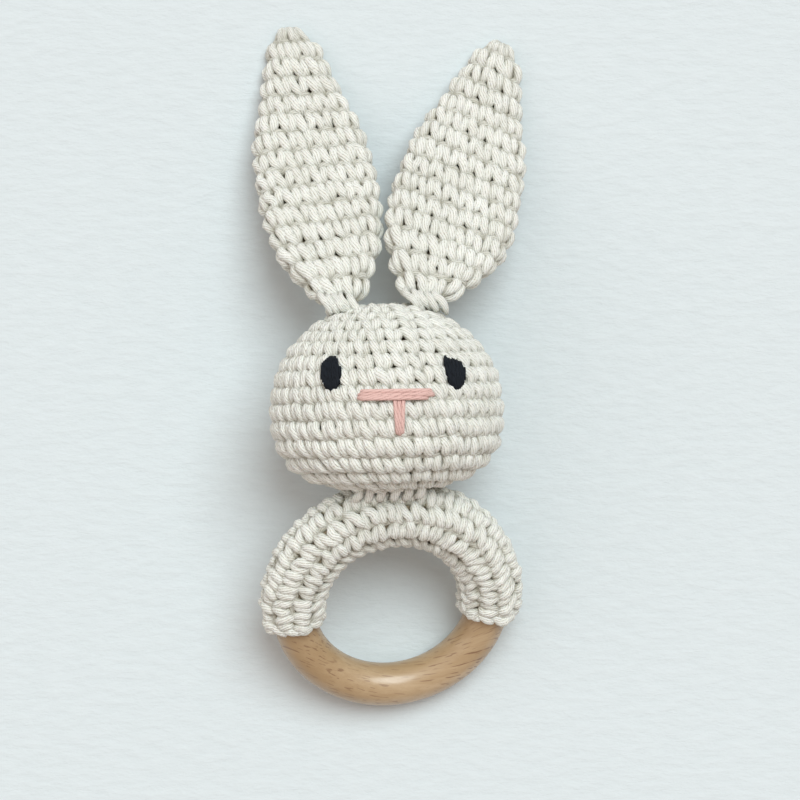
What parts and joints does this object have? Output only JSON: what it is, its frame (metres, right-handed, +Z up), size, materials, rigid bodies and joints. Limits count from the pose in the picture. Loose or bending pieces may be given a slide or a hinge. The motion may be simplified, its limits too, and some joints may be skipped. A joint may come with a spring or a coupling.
{
  "type": "baby rattle",
  "caption": "Crocheted rabbit-head rattle: stuffed round head with two flat ears and stitched face, sewn to a sleeve on a wooden teething ring.",
  "frame": {"origin": "on the table, under the middle of the whole object's bounding box", "axes": "+X to the right as the face is seen, +Y from the ring to the ears, +Z up, out of the face"},
  "size_m": [0.0684, 0.1706, 0.0576],
  "materials": {
    "cotton_yarn": "crocheted cream cotton",
    "eye_thread": "near-black embroidery thread",
    "nose_thread": "dusty pink embroidery thread",
    "stuffing": "white polyester fibre",
    "capsule": "moulded, natural white",
    "bead": "moulded",
    "beech": "sanded and lacquered beech"
  },
  "bodies": {
    "head": {"head_cover": "cotton_yarn", "head_stuffing": "stuffing", "capsule_back_shell": "capsule", "capsule_front_shell": "capsule", "eye_left": "eye_thread", "eye_right": "eye_thread", "nose_bar": "nose_thread", "nose_stem": "nose_thread", "neck_seam": "cotton_yarn"},
    "sleeve": {"ring_sleeve": "cotton_yarn", "sleeve_seam": "cotton_yarn"},
    "ring": {"wooden_ring": "beech"},
    "left_ear": {"ear_left": "cotton_yarn", "ear_left_seam": "cotton_yarn"},
    "right_ear": {"ear_right": "cotton_yarn", "ear_right_seam": "cotton_yarn"},
    "bead_1": {"bead_1": "bead"},
    "bead_2": {"bead_2": "bead"},
    "bead_3": {"bead_3": "bead"},
    "bead_4": {"bead_4": "bead"},
    "bead_5": {"bead_5": "bead"},
    "bead_6": {"bead_6": "bead"}
  },
  "joints": [
    {"name": "neck_nod", "type": "hinge", "parent": "head", "child": "sleeve", "pos_m": [0.00056, -0.0359, 0.02804], "axis": [0.9879, 0.0691, -0.1392], "range_deg": [-55, 8]},
    {"name": "ring_turn", "type": "hinge", "parent": "sleeve", "child": "ring", "pos_m": [0.00053, -0.05788, 0.01698], "axis": [0.1554, -0.4442, 0.8823], "continuous": true},
    {"name": "left_ear_flop", "type": "hinge", "parent": "head", "child": "left_ear", "pos_m": [-0.01195, 0.01503, 0.0311], "axis": [0.9997, 0.0262, 0], "range_deg": [-25, 95]},
    {"name": "right_ear_flop", "type": "hinge", "parent": "head", "child": "right_ear", "pos_m": [0.00864, 0.01577, 0.0311], "axis": [0.9997, 0.0262, 0], "range_deg": [-25, 95]},
    {"name": "bead_1_rattle", "type": "slide", "parent": "head", "child": "bead_1", "axis": [0, 0, 1], "range_m": [0, 0.018]},
    {"name": "bead_2_rattle", "type": "slide", "parent": "head", "child": "bead_2", "axis": [0, 0, 1], "range_m": [0, 0.01526]},
    {"name": "bead_3_rattle", "type": "slide", "parent": "head", "child": "bead_3", "axis": [0, 0, 1], "range_m": [0, 0.01526]},
    {"name": "bead_4_rattle", "type": "slide", "parent": "head", "child": "bead_4", "axis": [0, 0, 1], "range_m": [0, 0.01526]},
    {"name": "bead_5_rattle", "type": "slide", "parent": "head", "child": "bead_5", "axis": [0, 0, 1], "range_m": [0, 0.01526]},
    {"name": "bead_6_rattle", "type": "slide", "parent": "head", "child": "bead_6", "axis": [0, 0, 1], "range_m": [0, 0.01526]}
  ]
}
